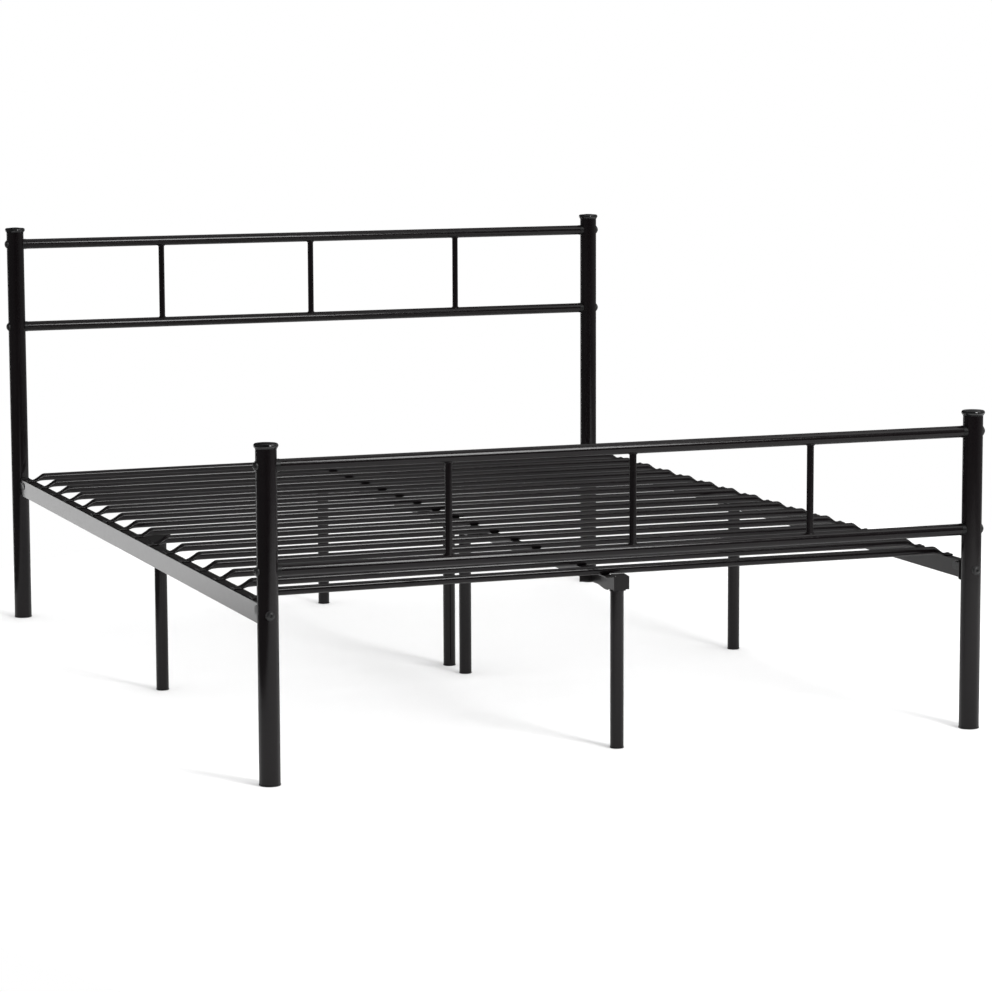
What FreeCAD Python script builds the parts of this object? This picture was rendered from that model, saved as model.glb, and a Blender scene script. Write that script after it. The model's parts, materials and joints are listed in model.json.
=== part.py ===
import FreeCAD, Part
import math
import os

# Double bed frame of round steel tube: two panels, two angle side rails, bowed tube slats and a
# centre beam, standing on four posts and six legs. X runs across the bed (left is -X), Y runs
# from the foot end (-Y) to the head end (+Y), Z is up. The origin is on the floor, below the
# middle of the frame. Millimetres.

# ---- Overall layout
post_spacing_x = 1392.0
post_spacing_y = 1930.0
head_post_top = 877.0
foot_post_top = 600.5
head_rail_heights = (850.0, 664.0)
foot_rail_heights = (570.0, 383.5)
spindle_spacing = 357.0

# ---- Tubes
post_diameter = 38.0
post_wall = 1.5
rail_diameter = 22.0
rail_wall = 1.2
spindle_diameter = 13.0
spindle_wall = 1.2
leg_diameter = 25.0
leg_wall = 1.2
slat_diameter = 16.0
slat_wall = 1.2

# ---- Side rails: folded angle, upright leaf outside and flange on top
sheet = 2.0
side_rail_top = 321.0
side_rail_height = 38.0
side_rail_flange = 20.0
side_rail_outboard = 5.0
bend_radius = 2.5
end_plate_thickness = 3.0
end_plate_outboard = 8.0
window_length = 41.0
window_height = 16.0
side_bolt_height = 306.5
side_bolt_outboard = 1.0

# ---- Slats
slat_count = 16
slat_pitch = 116.5
slat_bow = 1.8
slat_pinch_start = 34.0
slat_pinch_end = 8.0
slat_tab_thickness = 3.2
slat_end_outboard = 4.0
rivet_inboard = 2.0
rivet_diameter = 5.0

# ---- Centre beam and legs, as distances from the foot-end posts
beam_top = 324.9
beam_height = 26.0
beam_flange = 20.0
beam_left_of_middle = 9.0
beam_end_margin = 13.0
beam_joint = 943.0
beam_joint_gap = 2.0
center_leg_places = (75.0, 894.0, 992.0, 1855.0)
bracket_leaf_right = 19.5
bracket_leaf_rise = 4.3
bracket_leaf_hook = 10.0
bracket_lug = 22.0
side_leg_place = 948.0
side_leg_inboard = 61.5

# ---- Fasteners and plastic trim
bolt_diameter = 8.0
bolt_clearance = 0.2
bolt_head_diameter = 14.0
bolt_head_height = 3.4
washer_diameter = 18.0
washer_thickness = 1.2
nut_block_length = 40.0
nut_block_height = 15.0
nut_block_inboard = 7.0
nut_block_outboard = 6.5
nut_block_grip = 20.0
small_bolt_diameter = 6.0
small_head_diameter = 11.0
small_head_height = 3.4
small_nut_across_flats = 10.0
small_nut_thickness = 5.0
plug_collar = 5.0
plug_collar_diameter = 23.0
plug_depth = 25.0
glide_thickness = 3.0
glide_depth = 14.0
glide_wall = 2.0

half_x = post_spacing_x / 2
half_y = post_spacing_y / 2
post_radius = post_diameter / 2
SIDES = (("left", -1), ("right", 1))
ENDS = (("foot", -1, foot_post_top, foot_rail_heights), ("head", 1, head_post_top, head_rail_heights))

os.makedirs("parts", exist_ok=True)


# ---- Small shape tools

def vec(x, y, z):
    return FreeCAD.Vector(x, y, z)


def box(low, high):
    size = [b - a for a, b in zip(low, high)]
    return Part.makeBox(*size, vec(*low))


def rod(start, end, diameter):
    axis = end - start
    return Part.makeCylinder(diameter / 2, axis.Length, start, axis)


def tube(start, end, diameter, wall):
    return rod(start, end, diameter).cut(rod(start, end, diameter - 2 * wall))


def prism(points, thickness):
    """A plate: the outline through the points, pushed along the thickness vector."""
    face = Part.Face(Part.makePolygon(list(points) + [points[0]]))
    return face.extrude(thickness)


def hexagon(centre, axis, across_flats, length):
    """A hexagonal bar from the centre point along the axis, flats level with the ground."""
    radius = across_flats / math.sqrt(3)
    side = axis.cross(vec(0, 0, 1)) if abs(axis.z) < 0.5 else vec(1, 0, 0)
    up = side.cross(axis)
    turns = [math.radians(60 * i) for i in range(6)]
    corners = [centre + side * (radius * math.cos(a)) + up * (radius * math.sin(a)) for a in turns]
    return prism(corners, axis * length)


def lathe(points, x=0.0, y=0.0, z=0.0):
    """Turns a profile of (radius, height) points about a vertical axis.

    An entry with four numbers is an arc to its last two, passing through its first two.
    """
    edges = []
    here = points[0]
    for entry in list(points[1:]) + [points[0]]:
        there = entry[-2:]
        if len(entry) == 4:
            arc = Part.Arc(vec(here[0], 0, here[1]), vec(entry[0], 0, entry[1]), vec(there[0], 0, there[1]))
            edges.append(arc.toShape())
        elif math.dist(here, there) > 1e-6:
            edges.append(Part.LineSegment(vec(here[0], 0, here[1]), vec(there[0], 0, there[1])).toShape())
        here = there
    solid = Part.Face(Part.Wire(edges)).revolve(vec(0, 0, 0), vec(0, 0, 1), 360)
    solid.translate(vec(x, y, z))
    return solid


def dome(radius, base, top):
    """Profile entry for a low dome that starts at (radius, base) and ends on the axis at the top."""
    rise = top - base
    sphere = (radius ** 2 + rise ** 2) / (2 * rise)
    half_turn = math.asin(radius / sphere) / 2
    return (sphere * math.sin(half_turn), top - sphere * (1 - math.cos(half_turn)), 0, top)


def turned_to(shape, axis, place):
    """Carries a shape made along +Z at the origin over to the place, now along the axis."""
    moved = shape.copy()
    moved.Placement = FreeCAD.Placement(place, FreeCAD.Rotation(vec(0, 0, 1), axis))
    return moved


def mirrored(shape, across_x):
    return shape.mirror(vec(0, 0, 0), vec(1, 0, 0) if across_x else vec(0, 1, 0))


def to_corner(shape, side, end):
    """A part made at the head-end right corner, carried to another corner."""
    across = shape if side > 0 else mirrored(shape, True)
    return across if end > 0 else mirrored(across, False)


def join(shapes):
    return shapes[0].multiFuse(list(shapes[1:])).removeSplitter()


def save(name, shapes):
    """One file per node; a group of loose solids goes in as a compound."""
    shapes = shapes if isinstance(shapes, (list, tuple)) else [shapes]
    solids = [solid for shape in shapes for solid in shape.Solids]
    result = solids[0] if len(solids) == 1 else Part.makeCompound(solids)
    if not result.isValid():
        raise RuntimeError(name + " is not a valid shape")
    result.exportStep("parts/%s.step" % name)
    print("%-26s %3d solids %12.0f mm3" % (name, len(solids), result.Volume))


# ---- Fasteners

def dome_bolt(diameter, head_diameter, head_height, length, socket):
    """Button-head bolt: the head's flat sits at the origin, the dome is up and the shank is down."""
    head_radius = head_diameter / 2
    shank_radius = diameter / 2
    shoulder = 1.2
    crown = 0.35 * head_radius
    bulge = (0.82 * head_radius, 0.72 * head_height)
    profile = ((0, -length), (shank_radius, -length), (shank_radius, 0), (head_radius, 0),
               (head_radius, shoulder), bulge + (crown, head_height), (0, head_height))
    recess = hexagon(vec(0, 0, head_height - 2.2), vec(0, 0, 1), socket, 3.0)
    return lathe(profile).cut(recess)


def hex_nut(diameter, across_flats, thickness):
    """Nut with its bearing face at the origin, going up."""
    nut = hexagon(vec(0, 0, 0), vec(0, 0, 1), across_flats, thickness)
    corner = across_flats / math.sqrt(3)
    rounding = lathe(((0, 0), (corner - 0.7, 0), (corner, 0.7), (corner, thickness - 0.7),
                      (corner - 0.7, thickness), (0, thickness)))
    return nut.common(rounding).cut(rod(vec(0, 0, -1), vec(0, 0, thickness + 1), diameter))


def panel_bolt(length):
    return dome_bolt(bolt_diameter, bolt_head_diameter, bolt_head_height, length, 5.0)


def small_bolt(length):
    return dome_bolt(small_bolt_diameter, small_head_diameter, small_head_height, length, 4.0)


# ---- Posts with their caps and glides

def post_at(side, end, top):
    x = side * half_x
    y = end * half_y
    return vec(x, y, glide_thickness), vec(x, y, top)


def post_core(side, end):
    """A solid bar the size of a post, for shaping what bears on it."""
    low, high = post_at(side, end, head_post_top)
    return rod(low, high, post_diameter)


def side_bolt_line(side, end):
    """Where the side rail's bolt crosses the post's middle plane."""
    return vec(side * (half_x + side_bolt_outboard), end * half_y, side_bolt_height)


def make_post(side, end, top, rail_heights):
    low, high = post_at(side, end, top)
    post = tube(low, high, post_diameter, post_wall)
    hole = bolt_diameter + 2 * bolt_clearance
    reach = post_radius + 5
    for height in rail_heights:
        middle = vec(low.x, low.y, height)
        post = post.cut(rod(middle - vec(reach, 0, 0), middle + vec(reach, 0, 0), hole))
    middle = side_bolt_line(side, end)
    return post.cut(rod(middle - vec(0, reach, 0), middle + vec(0, reach, 0), hole))


def make_post_cap():
    """Push-in plug with a lip, a rounded rim and a low domed top. Its origin is the tube's mouth."""
    bore = post_radius - post_wall
    inside = bore - 2
    profile = ((inside, -12), (bore - 0.6, -12), (bore, -10), (bore, 0), (20.0, 0), (20.4, 0.5), (20.4, 1.8),
               (21.0, 2.0), (22.2, 5.0, 20.9, 8.2), (19.9, 9.0, 18.6, 8.9), (18.0, 8.5), (17.4, 8.8),
               dome(17.4, 8.8, 10.6), (0, 6.0), (inside, 5.0))
    return lathe(profile)


def make_glide(tube_diameter, wall):
    """Plastic foot: a disc a little wider than the tube, and a hollow plug up inside it."""
    bore = tube_diameter / 2 - wall
    rim = tube_diameter / 2 + 0.7
    inside = bore - glide_wall
    top = glide_thickness + glide_depth
    profile = ((0, 0), (rim - 1.5, 0), (rim - 0.4, 0.4, rim, 1.5), (rim, glide_thickness - 0.6),
               (rim - 0.6, glide_thickness), (bore, glide_thickness), (bore, top - 2), (bore - 0.6, top),
               (inside, top), (inside, glide_thickness), (0, glide_thickness))
    return lathe(profile)


# ---- Head and foot panels

def make_panel_rail(end, height):
    reach = half_x - post_radius - plug_collar
    rail = tube(vec(-reach, end * half_y, height), vec(reach, end * half_y, height), rail_diameter, rail_wall)
    return rail


def make_spindle(end, x, upper, lower):
    """Spindle between two rails, its ends coped to sit on them."""
    y = end * half_y
    spindle = tube(vec(x, y, lower), vec(x, y, upper), spindle_diameter, spindle_wall)
    for height in (upper, lower):
        rail = rod(vec(x - 20, y, height), vec(x + 20, y, height), rail_diameter)
        spindle = spindle.cut(rail)
    return max(spindle.Solids, key=lambda solid: solid.Volume)


def make_rail_plug(side, end, height):
    """Plug in the rail's end: its collar is hollowed to the post and its core takes the bolt."""
    x = side * half_x
    y = end * half_y
    inward = vec(-side, 0, 0)
    post_line = vec(x, y, height)
    mouth = post_line + inward * (post_radius + plug_collar)
    collar = rod(post_line, mouth, plug_collar_diameter).cut(post_core(side, end))
    core = rod(mouth, mouth + inward * plug_depth, rail_diameter - 2 * rail_wall)
    thread = rod(post_line, mouth + inward * (plug_depth + 1), bolt_diameter)
    return join([collar, core]).cut(thread)


def make_washer(side, end, through, outward):
    """Curved washer between the post and a bolt's head."""
    seat = through + outward * (post_radius + washer_thickness)
    washer = rod(through, seat, washer_diameter).cut(post_core(side, end))
    return washer.cut(rod(through, seat + outward, bolt_diameter))


def bolt_in_post(through, outward, length):
    seat = through + outward * (post_radius + washer_thickness)
    return turned_to(panel_bolt(length), outward, seat)


# ---- Side rails (made on the right side, +X, then mirrored)

def angle_section_rail():
    """Folded angle with a rounded fold, lying along Y."""
    outer = half_x + side_rail_outboard
    reach = half_y - post_radius - end_plate_thickness
    bottom = side_rail_top - side_rail_height
    low_points = [(outer - sheet, bottom), (outer, bottom), (outer, side_rail_top),
                  (outer - side_rail_flange, side_rail_top), (outer - side_rail_flange, side_rail_top - sheet),
                  (outer - sheet, side_rail_top - sheet)]
    rail = prism([vec(x, -reach, z) for x, z in low_points], vec(0, 2 * reach, 0))
    fold = [e for e in rail.Edges if is_fold(e, outer, side_rail_top)]
    return rail.makeFillet(bend_radius, fold)


def is_fold(edge, x, z):
    """True for a long edge along Y at this x and z."""
    middle = edge.CenterOfMass
    return edge.Length > 200 and abs(middle.x - x) < 0.01 and abs(middle.z - z) < 0.01


def window_cutter(end):
    """Opening in the rail's upright leaf, behind the end plate, for the nut block."""
    outer = half_x + side_rail_outboard
    mouth = half_y - post_radius - end_plate_thickness
    y_far = mouth - window_length + window_height / 2
    low = side_bolt_height - window_height / 2
    block = box((outer - 6, y_far, low), (outer + 2, mouth + 1, low + window_height))
    inside = vec(outer - 6, y_far, side_bolt_height)
    nose = rod(inside, inside + vec(8, 0, 0), window_height)
    cutter = join([block, nose])
    return cutter if end > 0 else mirrored(cutter, False)


def slat_places():
    first = -slat_pitch * (slat_count - 1) / 2
    return [first + slat_pitch * i for i in range(slat_count)]


def rivet_x():
    return half_x - rivet_inboard


def make_side_rail():
    rail = angle_section_rail()
    for end in (-1, 1):
        rail = rail.cut(window_cutter(end))
    for y in slat_places():
        hole = rod(vec(rivet_x(), y, side_rail_top - 5), vec(rivet_x(), y, side_rail_top + 5), rivet_diameter)
        rail = rail.cut(hole)
    return rail


def make_end_plate():
    """Plate welded on the rail's head end, which the post bolt pulls against the post."""
    y = half_y - post_radius
    inner = half_x + side_rail_outboard - side_rail_flange
    outer = half_x + end_plate_outboard
    bottom = side_rail_top - side_rail_height + 1
    top = side_rail_top - 0.5
    plate = box((inner, y - end_plate_thickness, bottom), (outer, y, top))
    upright = [e for e in plate.Edges if abs(e.Vertexes[0].Y - e.Vertexes[-1].Y) > 1]
    plate = plate.makeFillet(3.0, upright)
    middle = side_bolt_line(1, 1)
    hole = rod(middle, middle - vec(0, 40, 0), bolt_diameter + 2 * bolt_clearance)
    return plate.cut(hole)


def make_nut_block():
    """Tapped block behind the head-end plate, lying in the rail's window, its far end rounded."""
    mouth = half_y - post_radius - end_plate_thickness
    radius = nut_block_height / 2
    inner = half_x - nut_block_inboard
    outer = half_x + nut_block_outboard
    y_nose = mouth - nut_block_length + radius
    block = box((inner, y_nose, side_bolt_height - radius), (outer, mouth, side_bolt_height + radius))
    nose = rod(vec(inner, y_nose, side_bolt_height), vec(outer, y_nose, side_bolt_height), nut_block_height)
    middle = side_bolt_line(1, 1)
    return join([block, nose]).cut(rod(middle, middle - vec(0, 80, 0), bolt_diameter))


# ---- Slats

def flattened_ring(x, half_width, half_height, corner_y, corner_z, z_mid, tilt=0.0):
    """Closed section across the slat: four pieces, each an arc, or straight where it is flat."""
    def place(y, z):
        return vec(x + z * math.sin(tilt), y, z_mid + z * math.cos(tilt))

    corners = [(-corner_y, corner_z), (corner_y, corner_z), (corner_y, -corner_z), (-corner_y, -corner_z)]
    tops = [(0, half_height), (half_width, 0), (0, -half_height), (-half_width, 0)]
    edges = []
    for i, top in enumerate(tops):
        a = place(*corners[i])
        b = place(*corners[(i + 1) % 4])
        m = place(*top)
        flat = abs(abs(top[1]) - corner_z) < 1e-6 and top[0] == 0
        edges.append(Part.LineSegment(a, b).toShape() if flat else Part.Arc(a, m, b).toShape())
    return Part.Wire(edges)


def pinched_section(x, pinch, mid, tilt, inset):
    """The slat's section where it is pinched by this share, from 0 in the round tube to 1 in the flat tab.

    Flattening keeps the tube's girth, so the section widens as it gets lower.
    """
    radius = slat_diameter / 2
    half_height = radius + (slat_tab_thickness / 2 - radius) * pinch
    half_width = radius * math.pi / 2 - half_height * (math.pi / 2 - 1)
    half_height -= inset
    half_width -= inset
    round_corner = math.sqrt(0.5)
    corner_y = half_width * round_corner * (1 - pinch) + (half_width - half_height) * pinch
    corner_z = half_height * (round_corner * (1 - pinch) + pinch)
    return flattened_ring(x, half_width, half_height, corner_y, corner_z, mid, tilt)


def slat_shell(inset):
    """The slat's outer form, or with an inset the hollow inside it."""
    pinch_x = half_x - slat_pinch_start
    tab_x = half_x - slat_pinch_end
    end_x = half_x + slat_end_outboard + (5 if inset else 0)
    bow_radius = (pinch_x ** 2 + slat_bow ** 2) / (2 * slat_bow)
    tilt = math.asin(pinch_x / bow_radius)
    apex = beam_top + 0.1 + slat_diameter / 2
    tube_mid = apex - slat_bow
    tab_mid = side_rail_top + slat_tab_thickness / 2

    left_face = Part.Face(pinched_section(-pinch_x, 0, tube_mid, -tilt, inset))
    middle = left_face.revolve(vec(0, 0, apex - bow_radius), vec(0, 1, 0), math.degrees(2 * tilt))
    sections = []
    for way in (0, 0.25, 0.5, 0.75, 1):
        x = pinch_x + (tab_x - pinch_x) * way
        pinch = way * way * (3 - 2 * way)
        mid = tube_mid + (tab_mid - tube_mid) * pinch
        sections.append(pinched_section(x, pinch, mid, tilt * (1 - way), inset))
    bend = Part.makeLoft(sections, True, False)
    tab = Part.Face(sections[-1]).extrude(vec(end_x - tab_x, 0, 0))
    return join([middle, bend, tab, mirrored(bend, True), mirrored(tab, True)])


def make_slat():
    slat = slat_shell(0).cut(slat_shell(slat_wall))
    for side in (-1, 1):
        x = side * rivet_x()
        slat = slat.cut(rod(vec(x, 0, side_rail_top - 5), vec(x, 0, side_rail_top + 9), rivet_diameter))
    return slat


def make_rivet(x, y):
    """Rivet through the slat's tab and the rail's flange, domed above and set below."""
    radius = rivet_diameter / 2
    under = -sheet
    profile = ((0, under - 1.4), (radius + 0.8, under - 1.4), (radius + 1.4, under), (radius, under),
               (radius, slat_tab_thickness), (4.8, slat_tab_thickness), (4.8, slat_tab_thickness + 0.5),
               dome(4.8, slat_tab_thickness + 0.5, slat_tab_thickness + 2.4))
    return lathe(profile, x, y, side_rail_top)


# ---- Centre beam: folded angle, upright leaf on the right and flange on top

beam_right = -beam_left_of_middle + sheet
beam_bottom = beam_top - beam_height


def from_foot(distance):
    return distance - half_y


def make_beam(y_start, y_end):
    corners = [(beam_right, beam_bottom), (beam_right, beam_top), (beam_right - beam_flange, beam_top),
               (beam_right - beam_flange, beam_top - sheet), (beam_right - sheet, beam_top - sheet),
               (beam_right - sheet, beam_bottom)]
    beam = prism([vec(x, y_start, z) for x, z in corners], vec(0, y_end - y_start, 0))
    fold = [e for e in beam.Edges if is_fold(e, beam_right, beam_top)]
    return beam.makeFillet(bend_radius, fold)


def splice_bolt_places():
    joint = from_foot(beam_joint)
    return [joint + step for step in (-24.0, -12.0, 12.0, 24.0)]


bolt_line_z = beam_bottom + 11.0
bracket_top = beam_top - sheet


def drilled_beam_leaf(shape, places):
    for y in places:
        start = vec(beam_right - 12, y, bolt_line_z)
        shape = shape.cut(rod(start, start + vec(24, 0, 0), small_bolt_diameter))
    return shape


def make_center_bracket(leg_y, toward):
    """Pressed bracket on a centre leg: a side plate on the beam's upright leaf, a floor on the leg's
    top, a leaf facing the beam's end on the right, and a lug turned out to the left at its far end."""
    face = beam_right - sheet
    floor = beam_bottom
    near = leg_y - toward * leg_diameter / 2
    far = leg_y + toward * 104.0
    outline = [(near, floor), (leg_y + toward * 16, floor), (leg_y + toward * 20, floor - 4.5),
               (leg_y + toward * 36, floor - 4.5), (leg_y + toward * 66, floor), (far, floor),
               (far, bracket_top), (near, bracket_top)]
    side_plate = prism([vec(face - sheet, y, z) for y, z in outline], vec(sheet, 0, 0))
    leaf = make_bracket_leaf(near, toward, clear_of_slats(near))
    y_pair = sorted((far, far - toward * sheet))
    lug = box((face - sheet - bracket_lug, y_pair[0], floor), (face - sheet, y_pair[1], bracket_top))
    y_pair = sorted((near, leg_y + toward * leg_diameter / 2))
    seat = box((face - sheet, y_pair[0], floor - sheet), (leg_diameter / 2, y_pair[1], floor))
    return join([side_plate, lug, seat, leaf])


def clear_of_slats(y):
    """True where a leaf can stand up past the beam's top without meeting a slat."""
    return min(abs(y - place) for place in slat_places()) > slat_diameter


def make_bracket_leaf(near, toward, tall):
    """The bracket's leaf across the beam's end, its upper outer corner cut off at a slope.

    A tall leaf hooks over the beam's flange.
    """
    top = beam_top + bracket_leaf_rise if tall else bracket_top
    corner = top - 6.0
    slope_start = bracket_leaf_right - 10.0
    outline = [(beam_right, beam_bottom), (bracket_leaf_right, beam_bottom), (bracket_leaf_right, corner),
               (slope_start, top)]
    if tall:
        outline += [(beam_right - bracket_leaf_hook, top), (beam_right - bracket_leaf_hook, beam_top),
                    (beam_right, beam_top)]
    else:
        outline += [(beam_right, top)]
    return prism([vec(x, near, z) for x, z in outline], vec(0, toward * sheet, 0))


def make_splice():
    """Joint plate on the right of the beam's two halves."""
    joint = from_foot(beam_joint)
    plate = box((beam_right, joint - 34, beam_bottom + 2), (beam_right + sheet, joint + 34, beam_top - 3))
    return drilled_beam_leaf(plate, splice_bolt_places())


def beam_fasteners():
    """The splice's bolts and nuts. Heads are on the left, nuts on the right."""
    bolts = []
    nuts = []
    left = vec(-1, 0, 0)
    right = vec(1, 0, 0)
    for y in splice_bolt_places():
        bolts.append(turned_to(small_bolt(14), left, vec(beam_right - sheet, y, bolt_line_z)))
        nuts.append(turned_to(small_nut(), right, vec(beam_right + sheet, y, bolt_line_z)))
    return bolts, nuts


def small_nut():
    return hex_nut(small_bolt_diameter, small_nut_across_flats, small_nut_thickness)


CENTER_LEGS = tuple((from_foot(place), toward) for place, toward in zip(center_leg_places, (1, -1, 1, -1)))


# ---- Legs

def make_leg(x, y, top):
    return tube(vec(x, y, glide_thickness), vec(x, y, top), leg_diameter, leg_wall)


# ---- Side leg bracket: inverted channel welded under the rail's flange, reaching inboard

def side_leg_x(side):
    return side * (half_x - side_leg_inboard)


bracket_roof = side_rail_top - sheet


def make_side_bracket(side):
    y = from_foot(side_leg_place)
    rail_face = half_x + side_rail_outboard - sheet
    tip = half_x - side_leg_inboard - leg_diameter / 2 - 5
    half_width = leg_diameter / 2 + 1 + sheet
    skirt = 15.0
    block = box((tip, y - half_width, bracket_roof - skirt), (rail_face, y + half_width, bracket_roof))
    hollow = box((tip - 1, y - half_width + sheet, bracket_roof - skirt - 1),
                 (rail_face + 1, y + half_width - sheet, bracket_roof - sheet))
    below = vec(side_leg_x(1), y, bracket_roof - 5)
    hole = rod(below, below + vec(0, 0, 10), bolt_diameter)
    bracket = block.cut(hollow).cut(hole)
    return bracket if side > 0 else mirrored(bracket, True)


def make_leg_plug(side):
    """Threaded plug in the side leg's top."""
    y = from_foot(side_leg_place)
    top = bracket_roof - sheet
    plug = rod(vec(side_leg_x(side), y, top - 18), vec(side_leg_x(side), y, top), leg_diameter - 2 * leg_wall)
    return plug.cut(rod(vec(side_leg_x(side), y, top - 19), vec(side_leg_x(side), y, top + 1), bolt_diameter))


# ---- Build and save every node

def build_panels():
    caps = make_post_cap()
    bolts = []
    washers = []
    plugs = []
    for end_name, end, top, heights in ENDS:
        for side_name, side in SIDES:
            corner = "%s_%s" % (end_name, side_name)
            save("%s_post_%s" % (end_name, side_name), make_post(side, end, top, heights))
            save("post_cap_" + corner, caps.translated(vec(side * half_x, end * half_y, top)))
            outward = vec(side, 0, 0)
            for height in heights:
                line = vec(side * half_x, end * half_y, height)
                plugs.append(make_rail_plug(side, end, height))
                washers.append(make_washer(side, end, line, outward))
                bolts.append(bolt_in_post(line, outward, 2 * post_radius + washer_thickness + plug_collar + 15))
        upper, lower = heights
        save("%s_top_rail" % end_name, make_panel_rail(end, upper))
        save("%s_lower_rail" % end_name, make_panel_rail(end, lower))
        for name, step in (("left", -1), ("center", 0), ("right", 1)):
            spindle = make_spindle(end, step * spindle_spacing, upper, lower)
            save("%s_spindle_%s" % (end_name, name), spindle)
    save("rail_end_plugs", plugs)
    save("panel_bolts", bolts)
    return washers


def build_side_rails(washers):
    rail = make_side_rail()
    save("side_rail_right", rail)
    save("side_rail_left", mirrored(rail, True))
    plates = []
    bolts = []
    blocks = []
    for _, side in SIDES:
        for _, end, _, _ in ENDS:
            plates.append(to_corner(make_end_plate(), side, end))
            blocks.append(to_corner(make_nut_block(), side, end))
            outward = vec(0, end, 0)
            line = side_bolt_line(side, end)
            washers.append(make_washer(side, end, line, outward))
            length = 2 * post_radius + washer_thickness + end_plate_thickness + nut_block_grip
            bolts.append(bolt_in_post(line, outward, length))
    save("side_rail_end_plates", plates)
    save("side_rail_bolts", bolts)
    save("side_rail_nut_blocks", blocks)
    save("saddle_washers", washers)


def build_slats():
    slat = make_slat()
    rivets = []
    for i, y in enumerate(slat_places()):
        save("slat_%02d" % (i + 1), slat.translated(vec(0, y, 0)))
        rivets.extend(make_rivet(side * rivet_x(), y) for _, side in SIDES)
    save("slat_rivets", rivets)


def build_center_support():
    first = CENTER_LEGS[0][0] - beam_end_margin
    last = CENTER_LEGS[-1][0] + beam_end_margin
    joint = from_foot(beam_joint)
    gap = beam_joint_gap / 2
    holes = splice_bolt_places()
    save("center_beam_foot_half", drilled_beam_leaf(make_beam(first, joint - gap), holes))
    save("center_beam_head_half", drilled_beam_leaf(make_beam(joint + gap, last), holes))
    save("center_beam_splice", make_splice())
    save("center_leg_brackets", [make_center_bracket(place, toward) for place, toward in CENTER_LEGS])
    bolts, nuts = beam_fasteners()
    save("beam_bolts", bolts)
    save("beam_nuts", nuts)
    names = ("center_leg_foot", "center_leg_mid_foot", "center_leg_mid_head", "center_leg_head")
    for name, (place, _) in zip(names, CENTER_LEGS):
        save(name, make_leg(0, place, beam_bottom - sheet))


def build_side_legs():
    y = from_foot(side_leg_place)
    brackets = []
    plugs = []
    bolts = []
    for name, side in SIDES:
        save("side_leg_" + name, make_leg(side_leg_x(side), y, bracket_roof - sheet))
        brackets.append(make_side_bracket(side))
        plugs.append(make_leg_plug(side))
        bolts.append(turned_to(panel_bolt(20), vec(0, 0, 1), vec(side_leg_x(side), y, bracket_roof)))
    save("side_leg_brackets", brackets)
    save("side_leg_top_plugs", plugs)
    save("side_leg_bolts", bolts)


def build_glides():
    post_glide = make_glide(post_diameter, post_wall)
    leg_glide = make_glide(leg_diameter, leg_wall)
    corners = [vec(side * half_x, end * half_y, 0) for _, side in SIDES for end in (-1, 1)]
    legs = [vec(0, place, 0) for place, _ in CENTER_LEGS]
    legs += [vec(side_leg_x(side), from_foot(side_leg_place), 0) for _, side in SIDES]
    save("post_glides", [post_glide.translated(corner) for corner in corners])
    save("leg_glides", [leg_glide.translated(place) for place in legs])


build_side_rails(build_panels())
build_slats()
build_center_support()
build_side_legs()
build_glides()
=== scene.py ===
import bpy
import bmesh
import json
import math
from mathutils import Matrix, Vector


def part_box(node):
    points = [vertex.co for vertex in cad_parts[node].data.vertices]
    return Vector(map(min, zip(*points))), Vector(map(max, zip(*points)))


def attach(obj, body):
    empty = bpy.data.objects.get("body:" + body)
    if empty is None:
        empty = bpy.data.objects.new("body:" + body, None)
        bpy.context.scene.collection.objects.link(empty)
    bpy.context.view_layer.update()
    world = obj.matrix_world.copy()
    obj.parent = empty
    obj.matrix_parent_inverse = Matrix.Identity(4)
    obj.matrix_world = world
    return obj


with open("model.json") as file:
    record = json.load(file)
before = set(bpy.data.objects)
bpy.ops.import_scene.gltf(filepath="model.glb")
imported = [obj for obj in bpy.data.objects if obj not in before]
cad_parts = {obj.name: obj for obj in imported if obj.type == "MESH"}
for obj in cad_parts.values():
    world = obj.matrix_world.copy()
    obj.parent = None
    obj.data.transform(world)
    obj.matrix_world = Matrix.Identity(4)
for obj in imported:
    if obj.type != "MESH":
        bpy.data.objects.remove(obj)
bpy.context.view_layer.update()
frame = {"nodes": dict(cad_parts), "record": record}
nodes = frame["nodes"]


# ---- Where things are, read from the frame

def node_centre(name):
    low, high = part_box(name)
    return (low + high) / 2


def node_size(name):
    low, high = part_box(name)
    return high - low


rail_radius = node_size("foot_top_rail").z / 2
spindle_radius = node_size("foot_spindle_left").x / 2
leg_radius = node_size("center_leg_foot").x / 2
sheet = node_size("center_beam_splice").x

# Each centre leg, with the way along Y that its bracket reaches from it.
CENTER_LEGS = {"center_leg_foot": 1, "center_leg_mid_foot": -1, "center_leg_mid_head": 1, "center_leg_head": -1}


# ---- Node-material tools

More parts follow.
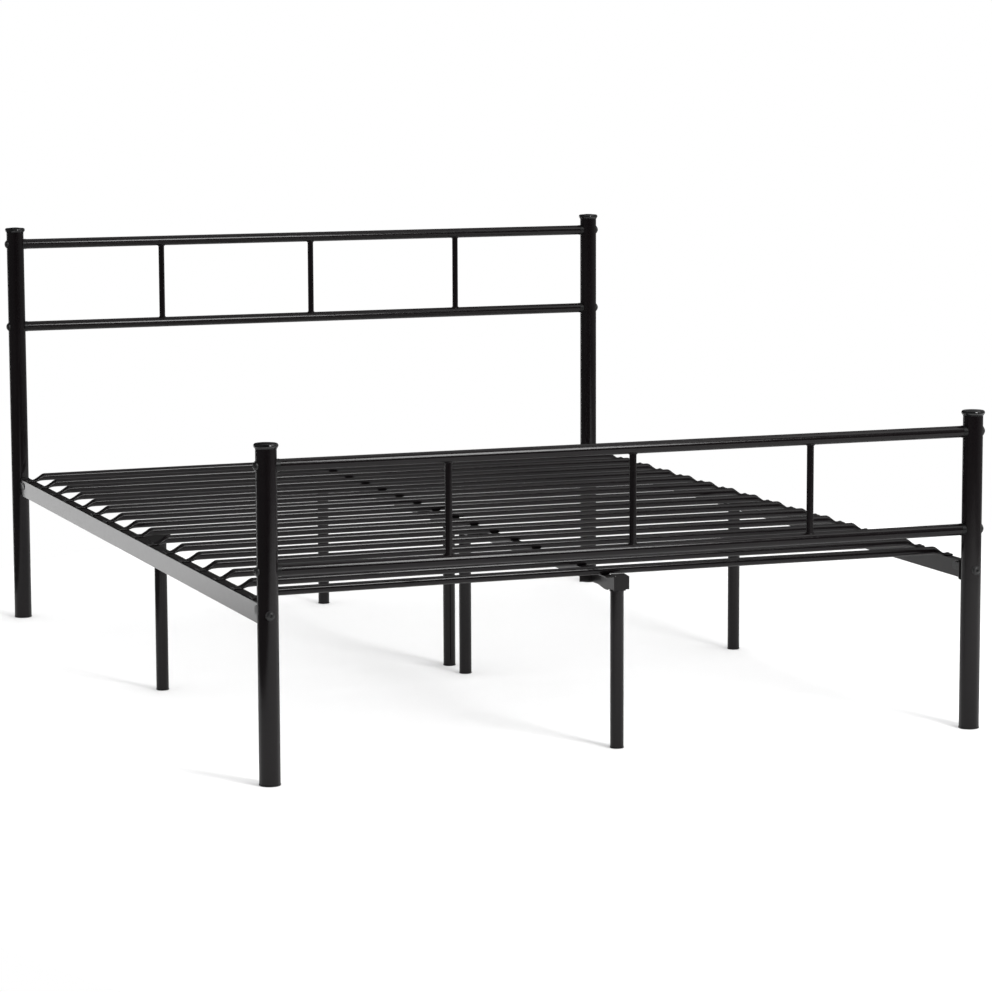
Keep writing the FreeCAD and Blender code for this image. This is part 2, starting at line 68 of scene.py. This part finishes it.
class NodeTree:
    """Short calls for adding and wiring shader nodes."""

    def __init__(self, name):
        self.material = bpy.data.materials.new(name)
        self.material.use_nodes = True
        self.tree = self.material.node_tree
        self.shader = self.tree.nodes["Principled BSDF"]
        self.place = self.tree.nodes.new("ShaderNodeTexCoord").outputs["Object"]

    def add(self, kind, settings=(), **inputs):
        node = self.tree.nodes.new("ShaderNode" + kind)
        for key, value in dict(settings).items():
            setattr(node, key, value)
        for key, value in inputs.items():
            socket = node.inputs[key.replace("_", " ")]
            if isinstance(value, bpy.types.NodeSocket):
                self.tree.links.new(value, socket)
            else:
                socket.default_value = value
        return node

    def noise(self, scale, detail=2.0, roughness=0.5, stretch=None):
        place = self.place
        if stretch:
            place = self.add("Mapping", Vector=place, Scale=stretch).outputs["Vector"]
        node = self.add("TexNoise", Vector=place, Scale=scale, Detail=detail, Roughness=roughness)
        return node.outputs["Fac"]

    def ranged(self, value, low, high, to_low, to_high):
        node = self.add("MapRange", Value=value, From_Min=low, From_Max=high, To_Min=to_low, To_Max=to_high)
        return node.outputs["Result"]

    def blend(self, factor, first, second):
        node = self.tree.nodes.new("ShaderNodeMix")
        node.data_type = "RGBA"
        self.tree.links.new(factor, node.inputs["Factor"])
        node.inputs[6].default_value = (*first, 1)
        node.inputs[7].default_value = (*second, 1)
        return node.outputs[2]

    def bump(self, height, distance, strength=1.0, under=None):
        node = self.add("Bump", Height=height, Distance=distance, Strength=strength)
        if under is not None:
            self.tree.links.new(under, node.inputs["Normal"])
        return node.outputs["Normal"]

    def set(self, **sockets):
        for key, value in sockets.items():
            socket = self.shader.inputs[key.replace("_", " ")]
            if isinstance(value, bpy.types.NodeSocket):
                self.tree.links.new(value, socket)
            else:
                socket.default_value = value


def powder_coat(name, dark, light, smooth, rough, peel, ior=1.3, dull_from=0.5):
    """Satin black powder coat with fine orange peel and slow drifts in tone and gloss.

    It gets duller at glancing angles, from dull_from on.
    """
    t = NodeTree(name)
    drift = t.noise(7.0, detail=3.0)
    grain = t.noise(1400.0, detail=2.0)
    ripple = t.noise(420.0, detail=1.0, roughness=0.4)
    colour = t.blend(t.ranged(drift, 0.3, 0.7, 0.0, 1.0), dark, light)
    gloss = t.ranged(t.noise(60.0, detail=4.0, roughness=0.6), 0.25, 0.75, smooth, rough)
    normal = t.bump(ripple, peel)
    normal = t.bump(grain, peel * 0.25, under=normal)
    glancing = t.add("LayerWeight", Blend=0.5).outputs["Facing"]
    gloss = t.ranged(glancing, dull_from, dull_from + 0.25, gloss, 0.65)
    t.set(Base_Color=colour, Roughness=gloss, Normal=normal, IOR=ior)
    return t.material


def black_oxide_steel(name):
    """Blackened steel of the bolts, nuts, washers and rivets, with a trace of turning marks."""
    t = NodeTree(name)
    worn = t.ranged(t.noise(90.0, detail=4.0, roughness=0.65), 0.5, 0.8, 0.0, 1.0)
    colour = t.blend(worn, (0.005, 0.005, 0.0054), (0.014, 0.013, 0.0128))
    gloss = t.ranged(t.noise(260.0, detail=3.0), 0.3, 0.7, 0.42, 0.56)
    t.set(Base_Color=colour, Roughness=gloss, Normal=t.bump(t.noise(900.0), 0.00004), Metallic=0.1)
    return t.material


def moulded_plastic(name, dark, light, smooth, rough, texture, ior):
    """Injection-moulded plastic, glossy or matt."""
    t = NodeTree(name)
    colour = t.blend(t.ranged(t.noise(25.0, detail=3.0), 0.3, 0.7, 0.0, 1.0), dark, light)
    gloss = t.ranged(t.noise(150.0, detail=3.0), 0.3, 0.7, smooth, rough)
    t.set(Base_Color=colour, Roughness=gloss, Normal=t.bump(t.noise(1100.0), texture), IOR=ior)
    return t.material


# The darker and the lighter tone that each material drifts between.
TUBE_TONES = ((0.0032, 0.0024, 0.0027), (0.0045, 0.0034, 0.0038))
SHEET_TONES = ((0.0075, 0.0066, 0.0068), (0.0095, 0.0085, 0.0087))
CAP_TONES = ((0.003, 0.003, 0.0032), (0.0045, 0.0045, 0.0047))
FOOT_TONES = ((0.0022, 0.0022, 0.0023), (0.0036, 0.0036, 0.0037))

MATERIALS = {
    "tube_coat": powder_coat("tube_coat", *TUBE_TONES, 0.12, 0.18, 0.00003),
    "sheet_coat": powder_coat("sheet_coat", *SHEET_TONES, 0.32, 0.34, 0.00002, 1.28, 0.8),
    "slat_coat": powder_coat("slat_coat", *TUBE_TONES, 0.15, 0.22, 0.00003),
    "fastener_steel": black_oxide_steel("fastener_steel"),
    "cap_plastic": moulded_plastic("cap_plastic", *CAP_TONES, 0.1, 0.16, 0.00001, 1.49),
    "foot_plastic": moulded_plastic("foot_plastic", *FOOT_TONES, 0.3, 0.4, 0.00003, 1.3),
}

for part in frame["record"]["subparts"]:
    mesh = nodes[part["node"]].data
    mesh.materials.clear()
    mesh.materials.append(MATERIALS[part["material_slot"]])


# ---- Weld beads where pieces meet

BEAD = 0.0013
BEAD_SIDES = 8
RING_STEPS = 40


def bead_along(name, points, closed, slot="tube_coat"):
    """A small weld bead: a tube along the points, with the slight ripple of a run weld."""
    bead = bmesh.new()
    count = len(points)
    rings = []
    for i, point in enumerate(points):
        before = points[i - 1] if closed or i > 0 else points[i]
        after = points[(i + 1) % count] if closed or i < count - 1 else points[i]
        along = (after - before).normalized()
        out = along.cross(Vector((0.31, 0.17, 0.93))).normalized()
        up = along.cross(out)
        radius = BEAD * (1 + 0.12 * math.sin(i * 2.1))
        turn = [2 * math.pi * k / BEAD_SIDES for k in range(BEAD_SIDES)]
        rings.append([bead.verts.new(point + (out * math.cos(a) + up * math.sin(a)) * radius) for a in turn])
    for i in range(count if closed else count - 1):
        a = rings[i]
        b = rings[(i + 1) % count]
        shift = nearest_shift(a, b) if closed and i == count - 1 else 0
        for k in range(BEAD_SIDES):
            over = (k + 1) % BEAD_SIDES
            bead.faces.new((a[k], a[over], b[(over + shift) % BEAD_SIDES], b[(k + shift) % BEAD_SIDES]))
    if not closed:
        bead.faces.new(rings[0][::-1])
        bead.faces.new(rings[-1])
    bmesh.ops.recalc_face_normals(bead, faces=bead.faces)
    mesh = bpy.data.meshes.new(name)
    bead.to_mesh(mesh)
    bead.free()
    mesh.shade_smooth()
    return piece(name, mesh, slot)


def nearest_shift(a, b):
    """How far round ring b the vertex that is nearest to ring a's first one lies."""
    return min(range(len(a)), key=lambda s: (a[0].co - b[s].co).length)


def piece(name, mesh, slot):
    """Puts a mesh in the scene, riding on the frame."""
    made = bpy.data.objects.new(name, mesh)
    bpy.context.scene.collection.objects.link(made)
    mesh.materials.append(MATERIALS[slot])
    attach(made, "root")
    return made


def spindle_weld(end, place, rail, upper):
    """The bead round a spindle's coped end, where it sits on a rail."""
    spindle = node_centre("%s_spindle_%s" % (end, place))
    rail_z = node_centre("%s_%s" % (end, rail)).z
    sign = -1 if upper else 1
    reach = spindle_radius + 0.0004
    points = []
    for i in range(RING_STEPS):
        a = 2 * math.pi * i / RING_STEPS
        y = reach * math.sin(a)
        z = rail_z + sign * (math.sqrt(rail_radius ** 2 - y ** 2) + 0.0003)
        points.append(Vector((spindle.x + reach * math.cos(a), spindle.y + y, z)))
    return bead_along("weld_%s_%s_%s" % (end, place, rail), points, True)


def straight_weld(name, start, stop):
    """A short bead from one point to another."""
    steps = max(4, int((stop - start).length / 0.0022))
    points = [start.lerp(stop, i / steps) for i in range(steps + 1)]
    return bead_along(name, points, False, "sheet_coat")


def end_plate_welds(side, end):
    """Beads that hold a side rail to its end plate, below and above the window and over the flange."""
    low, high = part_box("side_rail_right")
    outer = side * high.x
    inner = side * (high.x - node_size("side_rail_right").x)
    y = end * high.y
    name = "weld_end_plate_%s_%s" % ("right" if side > 0 else "left", "head" if end > 0 else "foot")
    straight_weld(name + "_low", Vector((outer, y, low.z + 0.002)), Vector((outer, y, low.z + 0.012)))
    straight_weld(name + "_high", Vector((outer, y, high.z - 0.007)), Vector((outer, y, high.z - 0.003)))
    over = high.z - 0.0003
    straight_weld(name + "_over", Vector((inner, y, over)), Vector((outer - side * 0.003, y, over)))


def leg_top_weld(leg):
    """The bead round a centre leg's top, under its bracket."""
    middle = node_centre(leg)
    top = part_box(leg)[1].z - 0.0008
    turns = [2 * math.pi * i / RING_STEPS for i in range(RING_STEPS)]
    reach = leg_radius + 0.0003
    points = [Vector((middle.x + reach * math.cos(a), middle.y + reach * math.sin(a), top)) for a in turns]
    return bead_along("weld_" + leg, points, True)


def bracket_welds(leg, toward):
    """Two stitches that hold a centre leg's bracket under the beam's flange."""
    beam_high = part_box("center_beam_foot_half")[1]
    y = node_centre(leg).y
    x = beam_high.x - 2 * sheet
    z = beam_high.z - sheet
    for stitch, (start, stop) in enumerate(((0.004, 0.03), (0.066, 0.094))):
        a = Vector((x, y + toward * start, z))
        b = Vector((x, y + toward * stop, z))
        straight_weld("weld_bracket_%s_%d" % (leg, stitch), a, b)


def side_bracket_welds(side):
    """Upright beads where a side leg's bracket meets its rail."""
    low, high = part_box("side_leg_brackets")
    for y in (low.y, high.y):
        start = Vector((side * high.x, y, low.z + 0.001))
        stop = Vector((side * high.x, y, high.z - 0.001))
        straight_weld("weld_side_bracket_%d_%d" % (side, round(y * 1000)), start, stop)


for end in ("head", "foot"):
    for place in ("left", "center", "right"):
        spindle_weld(end, place, "top_rail", True)
        spindle_weld(end, place, "lower_rail", False)
for side in (-1, 1):
    side_bracket_welds(side)
    for end in (-1, 1):
        end_plate_welds(side, end)
for leg, toward in CENTER_LEGS.items():
    leg_top_weld(leg)
    bracket_welds(leg, toward)


# ---- Camera, low and to the left of the foot end

CAMERA_PLACE = Vector((-2.4509, -6.7834, 1.3243))
CAMERA_LENS = 126.75
yaw = math.radians(-20.578)
pitch = math.radians(7.602)
roll = math.radians(-0.216)


def add_camera():
    forward = Vector((-math.sin(yaw) * math.cos(pitch), math.cos(yaw) * math.cos(pitch), -math.sin(pitch)))
    level = Vector((math.cos(yaw), math.sin(yaw), 0))
    upright = level.cross(forward)
    right = math.cos(roll) * level + math.sin(roll) * upright
    up = -math.sin(roll) * level + math.cos(roll) * upright
    data = bpy.data.cameras.new("camera")
    data.lens = CAMERA_LENS
    data.sensor_width = 36.0
    data.clip_end = 100.0
    camera = bpy.data.objects.new("camera", data)
    bpy.context.scene.collection.objects.link(camera)
    camera.matrix_world = Matrix.Translation(CAMERA_PLACE) @ Matrix((right, up, -forward)).transposed().to_4x4()
    bpy.context.scene.camera = camera


# ---- Floor and studio light

FLOOR_MIDDLE = Vector((0.55, -0.75, 0.0))
FLOOR_HALF_WIDTH = 2.1
FLOOR_HALF_DEPTH = 2.9
# Painted shade: the floor's colour is darker in its middle, under the bed, and whiter towards its edge, making
# up for the lamps, which light the middle most.
FLOOR_MIDDLE_PAINTED_SHADE = 0.85
FLOOR_OUTER = 0.95


def add_floor():
    """A white oval floor, its colour painted darker towards its middle as painted shade under the bed. Past its
    edge the white backdrop carries on at the same brightness.
    """
    disc = bmesh.new()
    bmesh.ops.create_circle(disc, cap_ends=True, segments=128, radius=1.0)
    mesh = bpy.data.meshes.new("studio_floor")
    disc.to_mesh(mesh)
    disc.free()
    floor = bpy.data.objects.new("studio_floor", mesh)
    bpy.context.scene.collection.objects.link(floor)
    floor.location = FLOOR_MIDDLE
    floor.scale = (FLOOR_HALF_WIDTH, FLOOR_HALF_DEPTH, 1.0)
    t = NodeTree("studio_floor")
    # Painted shade: the floor's colour is darkest at its middle and fades to its whiter edge.
    from_middle = t.add("VectorMath", {"operation": "LENGTH"}, Vector=t.place).outputs["Value"]
    outward = t.ranged(from_middle, 0.3, 0.95, 0.0, 1.0)
    shade = t.blend(outward, (FLOOR_MIDDLE_PAINTED_SHADE,) * 3, (FLOOR_OUTER,) * 3)
    t.set(Base_Color=shade, Roughness=0.9, Specular_IOR_Level=0.2)
    mesh.materials.append(t.material)


# Name, place, target, width, height and brightness.
SOFTBOXES = (
    ("key_softbox", (1.45, -4.6, 3.5), (0.2, -0.9, 0.5), 1.1, 2.6, 20.0),
    ("side_softbox", (3.2, -2.6, 4.4), (0.6, -0.9, 0.5), 2.2, 3.2, 2.2),
    ("overhead_softbox", (0.8, 0.6, 4.6), (0.4, 0.2, 0), 4.5, 4.5, 0.75),
)


def add_softbox(name, place, target, width, height, radiance):
    """A rectangular light of the given brightness per unit of its surface."""
    data = bpy.data.lights.new(name, "AREA")
    data.shape = "RECTANGLE"
    data.size = width
    data.size_y = height
    data.energy = radiance * math.pi * width * height
    light = bpy.data.objects.new(name, data)
    bpy.context.scene.collection.objects.link(light)
    light.location = place
    light.rotation_mode = "QUATERNION"
    light.rotation_quaternion = (Vector(target) - Vector(place)).to_track_quat("-Z", "Y")


# Brightness of the surroundings, and between which cosines off its side each wall fades in.
BACKDROP = 1.0
FILL = 0.93
STUDIO_DARK = 0.012
RIGHT_WALL = 0.34
LEFT_WALL = 0.16
WALL_EDGES = (0.15, 0.95)
REAR_PANEL = 4.7
REAR_PANEL_SIDE = Vector((-0.305, 0.94, -0.14)).normalized()
REAR_PANEL_EDGES = (0.984, 0.998)


class WorldTree:
    """Short calls for the studio's surroundings."""

    def __init__(self):
        self.world = bpy.data.worlds.new("studio")
        self.world.use_nodes = True
        self.tree = self.world.node_tree
        self.direction = self.new("TexCoord").outputs["Generated"]
        self.rays = self.new("LightPath")

    def new(self, kind):
        return self.tree.nodes.new("ShaderNode" + kind)

    def toward(self, side, edge, full, brightness):
        """Brightness of the surroundings that face a side, rising smoothly from edge to full."""
        facing = self.new("VectorMath")
        facing.operation = "DOT_PRODUCT"
        self.tree.links.new(self.direction, facing.inputs[0])
        facing.inputs[1].default_value = side
        ramp = self.new("MapRange")
        ramp.interpolation_type = "SMOOTHSTEP"
        self.tree.links.new(facing.outputs["Value"], ramp.inputs["Value"])
        for key, value in zip(("From Min", "From Max", "To Min", "To Max"), (edge, full, 0.0, brightness)):
            ramp.inputs[key].default_value = value
        return ramp.outputs["Result"]

    def total(self, parts, base):
        """The parts added up on the base."""
        running = None
        for part in parts:
            node = self.new("Math")
            self.tree.links.new(part, node.inputs[0])
            if running is None:
                node.inputs[1].default_value = base
            else:
                self.tree.links.new(running, node.inputs[1])
            running = node.outputs["Value"]
        return running

    def background(self, strength):
        """White surroundings of a brightness that is a number or another node's output."""
        node = self.new("Background")
        node.inputs["Color"].default_value = (1, 1, 1, 1)
        if isinstance(strength, bpy.types.NodeSocket):
            self.tree.links.new(strength, node.inputs["Strength"])
        else:
            node.inputs["Strength"].default_value = strength
        return node.outputs["Background"]

    def choose(self, rays, others, these):
        """These surroundings for one kind of ray, and the others for the rest."""
        node = self.new("MixShader")
        self.tree.links.new(self.rays.outputs[rays], node.inputs["Fac"])
        self.tree.links.new(others, node.inputs[1])
        self.tree.links.new(these, node.inputs[2])
        return node.outputs["Shader"]


def add_world():
    """White backdrop, an even fill for matt surfaces, and dim walls for glossy ones to reflect."""
    w = WorldTree()
    right = w.toward((1, 0, 0), *WALL_EDGES, RIGHT_WALL)
    left = w.toward((-1, 0, 0), *WALL_EDGES, LEFT_WALL)
    rear = w.toward(REAR_PANEL_SIDE, *REAR_PANEL_EDGES, REAR_PANEL)
    reflected = w.background(w.total((right, left, rear), STUDIO_DARK))
    seen = w.choose("Is Glossy Ray", w.background(FILL), reflected)
    seen = w.choose("Is Camera Ray", seen, w.background(BACKDROP))
    w.tree.links.new(seen, w.tree.nodes["World Output"].inputs["Surface"])
    bpy.context.scene.world = w.world


add_camera()
add_floor()
add_world()
for softbox in SOFTBOXES:
    add_softbox(*softbox)
bpy.context.scene.view_settings.view_transform = "Standard"
